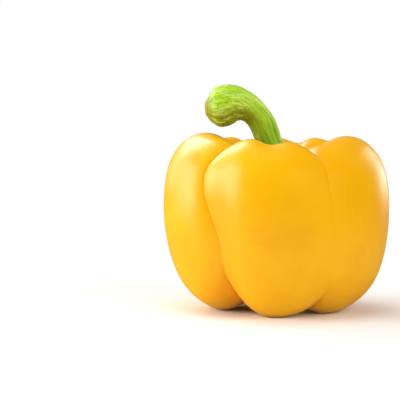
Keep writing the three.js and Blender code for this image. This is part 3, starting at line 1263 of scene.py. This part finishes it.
@dataclass
class DryPatch:
    """A small domed patch of dry tissue with corky grains or fibres standing on it."""

    name: str
    finish: DryTissue
    material: bpy.types.Material
    middle: Array
    facing: Array
    radius: float
    bulge: float
    grains: float
    grain_size: float
    grain_length: float
    seed: int
    sink: float = 0.4
    narrowing: float = 0.9
    grain_sizes: Range = (0.6, 1.3)
    grain_lengths: Range = (0.5, 1.4)
    round_count: int = 48
    ring_count: int = 12

    def dome(self) -> bpy.types.Object:
        """Makes the patch, a closed body sunk a little into what carries it.

        Returns:
            The mesh object.
        """
        ahead = unit(self.facing)
        across = unit(np.cross((0, 1, 0), ahead))
        beside = np.cross(ahead, across)
        angle = np.arange(self.round_count) * math.tau / self.round_count
        out = np.linspace(0, np.pi / 2, self.ring_count + 1)[1:]
        circle = np.sin(angle)[:, None] * across - np.cos(angle)[:, None] * beside
        upper = [self.radius * np.sin(o) * circle + self.bulge * np.cos(o) * ahead for o in out]
        lower = self.radius * self.narrowing * circle - self.sink * ahead
        rows = self.middle + np.stack([*upper, lower])
        top, bottom = self.middle + self.bulge * ahead, self.middle - self.sink * ahead
        return closed_body(self.name, top * MM, rows * MM, bottom * MM)

    def grain_tree(self) -> GeometryGroup:
        """Builds the tree that stands grains on the patch, each turned and sized on its own.

        Returns:
            The geometry tree.
        """
        numbers = {
            "Grains To A Square Metre": self.grains,
            "Grain Size": self.grain_size * MM,
            "Grain Length": self.grain_length * MM,
            "Seed": self.seed,
        }
        group = GeometryGroup("dry grains", numbers)
        given = group.given
        patch = given["Geometry"]
        spread = {"Mesh": patch, "Density": given["Grains To A Square Metre"], "Seed": given["Seed"]}
        points = group.add("GeometryNodeDistributePointsOnFaces", spread, distribute_method="RANDOM").outputs
        grain = group.add("GeometryNodeMeshIcoSphere", {"Radius": 1.0, "Subdivisions": 2}).outputs[0]
        wide = group.product(self.uneven(group, *self.grain_sizes, 1), given["Grain Size"])
        long = group.product(self.uneven(group, *self.grain_lengths, 2), given["Grain Length"])
        placed = {
            "Points": points["Points"],
            "Instance": grain,
            "Rotation": points["Rotation"],
            "Scale": group.combine(wide, wide, long),
        }
        grains = group.add("GeometryNodeInstanceOnPoints", placed).outputs[0]
        both = group.add("GeometryNodeJoinGeometry", {"Geometry": patch})
        group.feed(both.inputs["Geometry"], grains)
        group.end(both.outputs[0])
        return group

    def uneven(self, group: GeometryGroup, low: float, high: float, offset: int) -> Socket:
        """Gives each grain a number of its own between two bounds.

        Args:
            group: The tree that it goes into.
            low: The least.
            high: The most.
            offset: Told from other numbers by this.

        Returns:
            The number.
        """
        seed = group.total(group.given["Seed"], offset)
        inputs = {2: low, 3: high, 8: seed}
        return group.add("FunctionNodeRandomValue", inputs, data_type="FLOAT").outputs[1]

    def build(self) -> None:
        """Makes the patch and dresses it."""
        piece = self.dome()
        self.grain_tree().grow(piece, self.material)
        hand_over(piece, self.finish)


@dataclass(frozen=True)
class Softbox:
    """A square soft light: where it stands, its size and power, and whether it fills or is mirrored."""

    name: str
    place: tuple[float, float, float]
    size: float
    power: float
    fills: bool = True
    mirrored: bool = True


@dataclass
class Studio:
    """Pale floor, soft lights and the camera."""

    aim: Vector
    floor_radius: float = 8.0
    floor_sides: int = 96
    floor_greys: tuple[Colour, Colour] = ((0.93, 0.93, 0.93, 1.0), (0.95, 0.95, 0.95, 1.0))
    floor_blotches: float = 6.0
    floor_fade: Range = (0.08, 0.5, 1.0, 0.0)
    floor_hidden: float = 0.9
    floor_roughness: float = 0.9
    floor_specular: float = 0.1
    distance: float = 0.62
    elevation: float = 5.0
    sensor: float = 36.0
    view_end: float = 100.0
    image_side: int = 400
    metres_a_pixel: float = 0.000402
    aim_pixel: tuple[float, float] = (276.0, 218.0)
    sky: float = 0.1
    softboxes: tuple[Softbox, ...] = (
        Softbox("shoulder_softbox", (-0.76, 0.52, 0.36), 0.6, 3.0, fills=False),
        Softbox("crown_softbox", (-0.42, 0.6, 0.68), 0.5, 8.5, fills=False),
        Softbox("rim_softbox", (0.62, 0.78, 0.14), 0.22, 1.6, fills=False),
        Softbox("corner_softbox", (0.62, 0.75, 0.42), 0.3, 1.7, fills=False),
        Softbox("left_softbox", (-0.96, -0.04, 0.32), 0.6, 9.5, fills=False),
        Softbox("back_fill", (-0.5, 0.55, 0.6), 0.8, 4.0, mirrored=False),
        Softbox("rim_fill", (0.62, 0.66, 0.14), 0.35, 1.2, mirrored=False),
        Softbox("left_fill", (-0.95, -0.05, 0.2), 0.5, 5.7, mirrored=False),
        Softbox("front_fill", (-0.75, -0.55, 0.55), 0.6, 3.4, mirrored=False),
        Softbox("right_fill", (0.8, -0.7, 0.62), 0.8, 8.6, mirrored=False),
        Softbox("top_fill", (-0.1, -0.1, 1.1), 0.8, 4.6, mirrored=False),
    )

    def link(self, name: str, data: Any) -> bpy.types.Object:
        """Puts a lamp or a camera into the scene.

        Args:
            name: Name of the object.
            data: The lamp's or camera's settings.

        Returns:
            The object.
        """
        item = bpy.data.objects.new(name, data)
        bpy.context.scene.collection.objects.link(item)
        return item

    def floor(self) -> None:
        """Lays the floor, a large pale disc that fades out and is hardly mirrored."""
        angle = np.linspace(0, math.tau, self.floor_sides, endpoint=False)
        points = np.stack([np.cos(angle), np.sin(angle), 0 * angle], axis=-1) * self.floor_radius
        piece = mesh_object("studio_floor", points, [tuple(range(len(points)))])
        material = bpy.data.materials.new("pale_floor")
        material.use_nodes = True
        tree = Tree(material.node_tree)
        shader = material.node_tree.nodes["Principled BSDF"].inputs
        place = tree.add("ShaderNodeTexCoord").outputs["Object"]
        share = tree.noise(place, self.floor_blotches, detail=2.0)
        tree.feed(shader["Base Color"], tree.mix(share, *self.floor_greys))
        away = tree.add("ShaderNodeVectorMath", {0: place}, operation="LENGTH").outputs["Value"]
        mirrored = tree.add("ShaderNodeLightPath").outputs["Is Glossy Ray"]
        shown = tree.math("SUBTRACT", 1.0, tree.product(mirrored, self.floor_hidden))
        tree.feed(shader["Alpha"], tree.product(tree.remap(away, *self.floor_fade), shown))
        shader["Roughness"].default_value = self.floor_roughness
        shader["Specular IOR Level"].default_value = self.floor_specular
        piece.data.materials.append(material)

    def world(self) -> None:
        """Makes the white surroundings: plain white behind the object, softer as a light."""
        world = bpy.data.worlds.new("studio_white")
        bpy.context.scene.world = world
        world.use_nodes = True
        tree = Tree(world.node_tree)
        seen = tree.add("ShaderNodeLightPath").outputs["Is Camera Ray"]
        background = world.node_tree.nodes["Background"].inputs
        background["Color"].default_value = (1.0, 1.0, 1.0, 1.0)
        tree.feed(background["Strength"], tree.total(self.sky, tree.product(seen, 1.0 - self.sky)))

    def lights(self) -> None:
        """Sets up the softboxes."""
        for box in self.softboxes:
            light = bpy.data.lights.new(box.name, "AREA")
            light.shape = "SQUARE"
            light.size = box.size
            light.energy = box.power
            lamp = self.link(box.name, light)
            lamp.location = box.place
            lamp.rotation_euler = (self.aim - Vector(box.place)).to_track_quat("-Z", "Y").to_euler()
            lamp.visible_camera = False
            lamp.visible_diffuse = box.fills
            lamp.visible_glossy = box.mirrored

    def camera(self) -> None:
        """Sets the camera at the photograph's viewing angle, with the pod where it is in its frame."""
        data = bpy.data.cameras.new("studio_camera")
        camera = self.link("studio_camera", data)
        bpy.context.scene.camera = camera
        data.sensor_width = self.sensor
        data.lens = self.sensor * self.distance / (self.image_side * self.metres_a_pixel)
        data.clip_end = self.view_end
        tilt = math.radians(self.elevation)
        back = Vector((0.0, -math.cos(tilt), math.sin(tilt)))
        up = Vector((0.0, math.sin(tilt), math.cos(tilt)))
        across, down = ((pixel - self.image_side / 2) * self.metres_a_pixel for pixel in self.aim_pixel)
        eye = self.aim + back * self.distance
        look = self.aim - Vector((across, 0.0, 0.0)) + up * down
        camera.location = eye
        camera.rotation_mode = "QUATERNION"
        camera.rotation_quaternion = (look - eye).to_track_quat("-Z", "Y")

    def build(self) -> None:
        """Sets up the whole studio."""
        bpy.context.scene.view_settings.view_transform = "Standard"
        self.floor()
        self.world()
        self.lights()
        self.camera()
        LOG.info("studio: %d softboxes", len(self.softboxes))


def main() -> None:
    """Builds the pepper piece by piece, then the studio."""
    logging.basicConfig(level=logging.INFO, format="%(name)s: %(message)s")
    groups = mottle_group(), grain_group()
    pod_skin = PodSkin(
        "golden_skin", Slot.POD, roughness=0.36, specular=0.25, subsurface=0.1, scatter=(1.0, 0.6, 0.15),
        scatter_depth=0.004,
    )
    calyx_skin = CalyxSkin("calyx_skin", Slot.CALYX, roughness=0.5, specular=0.4, grain_depth=0.00003)
    stem_skin = StemSkin(
        "stem_skin", Slot.STEM, roughness=0.45, specular=0.12, subsurface=0.1, scatter=(0.6, 1.0, 0.2),
        scatter_depth=0.0015, grain_depth=0.00003,
    )
    pod = Pod(PodForm(), pod_skin, pod_skin.material(*groups))
    pod.build()
    calyx = Calyx(pod, calyx_skin, calyx_skin.material(*groups))
    calyx.build()
    stem = Stem(pod, stem_skin, stem_skin.material(*groups))
    stem.build()
    dry = DryTissue("dry_tissue", Slot.STEM, roughness=0.75, specular=0.2, grain_depth=0.00004)
    tissue = dry.material(*groups)
    shift = pod.shift() / MM
    cut, ahead, radius = (values[0] for values in stem.follow(np.array([1.0])))
    cork_lift, cork_reach = 0.15, 0.85
    cork = DryPatch(
        "cut_cork", dry, tissue, cut + shift + ahead * cork_lift, ahead, radius=radius * cork_reach,
        bulge=0.8, grains=1.8e6, grain_size=0.2, grain_length=0.1, seed=11,
    )
    cork.build()
    scar = DryPatch(
        "blossom_scar", dry, tissue, pod.form.pole(1.0) + shift, np.array([0.0, 0.0, -1.0]), radius=2.6,
        bulge=0.5, grains=2.2e6, grain_size=0.16, grain_length=0.9, seed=5,
    )
    scar.build()
    aim_height = 0.0365
    Studio(Vector(pod.shift()) + Vector((0.0, 0.0, aim_height))).build()


if __name__ == "__main__":
    main()
